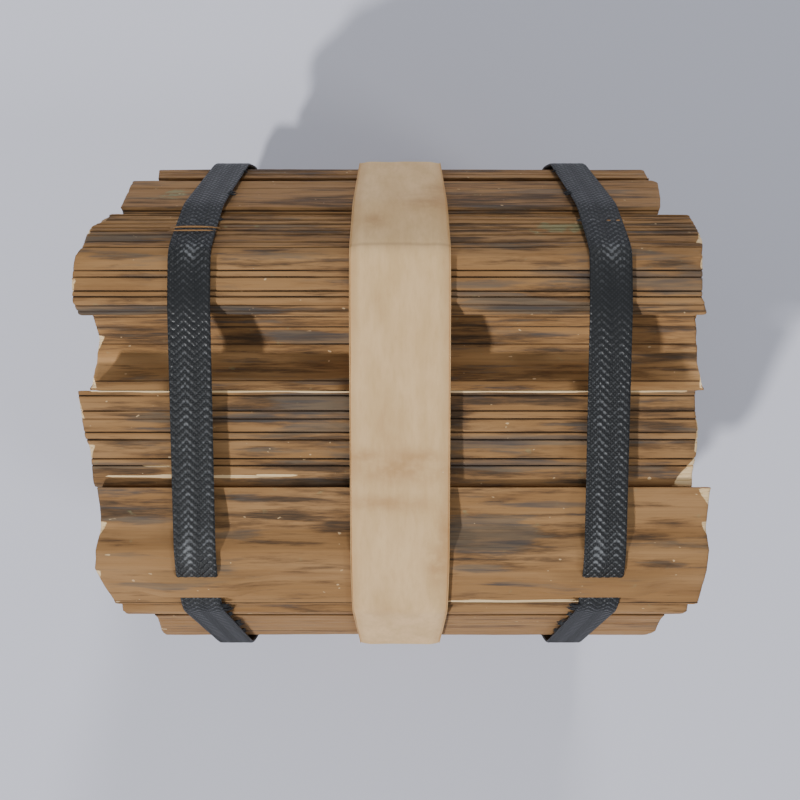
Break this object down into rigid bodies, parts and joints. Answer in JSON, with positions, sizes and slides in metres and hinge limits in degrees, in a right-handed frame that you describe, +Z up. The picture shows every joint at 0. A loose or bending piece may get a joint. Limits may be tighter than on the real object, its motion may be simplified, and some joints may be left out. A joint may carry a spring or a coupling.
{
  "type": "firewood bundle",
  "caption": "Round bundle of split stove logs lying on its side, tied by a braided strap near each end and a wide pale leather band around the middle.",
  "frame": {"origin": "on the ground, under the middle of the bundle's box", "axes": "+Z up, +X along the logs, +Y to the back; the flat undersides of the band and straps are at Z = 0"},
  "size_m": [0.338, 0.3236, 0.3246],
  "materials": {
    "split_wood": "weathered split wood, tan with dark brown streaks and grey patches",
    "braided_strap": "flat herringbone braid, near black with a waxy shine",
    "band_leather": "pale undyed hide, smooth, with faint brown stains"
  },
  "bodies": {
    "root": {"log_top_back": "split_wood", "log_top_sunken": "split_wood", "log_top_front": "split_wood", "log_front_shoulder": "split_wood", "slat_front": "split_wood", "log_front_upper": "split_wood", "log_front_middle": "split_wood", "log_front_lower": "split_wood", "log_front_foot": "split_wood", "log_bottom_front": "split_wood", "log_bottom_back": "split_wood", "log_back_foot": "split_wood", "log_back_lower": "split_wood", "log_back_middle": "split_wood", "log_back_upper": "split_wood", "log_back_shoulder": "split_wood", "core_top_front": "split_wood", "core_top_back": "split_wood", "core_front": "split_wood", "core_middle": "split_wood", "core_back_upper": "split_wood", "core_back_lower": "split_wood", "core_low_front": "split_wood", "core_bottom_front": "split_wood", "core_low_back": "split_wood", "core_bottom_back": "split_wood", "strap_left": "braided_strap", "strap_right": "braided_strap", "centre_band": "band_leather"}
  },
  "joints": []
}
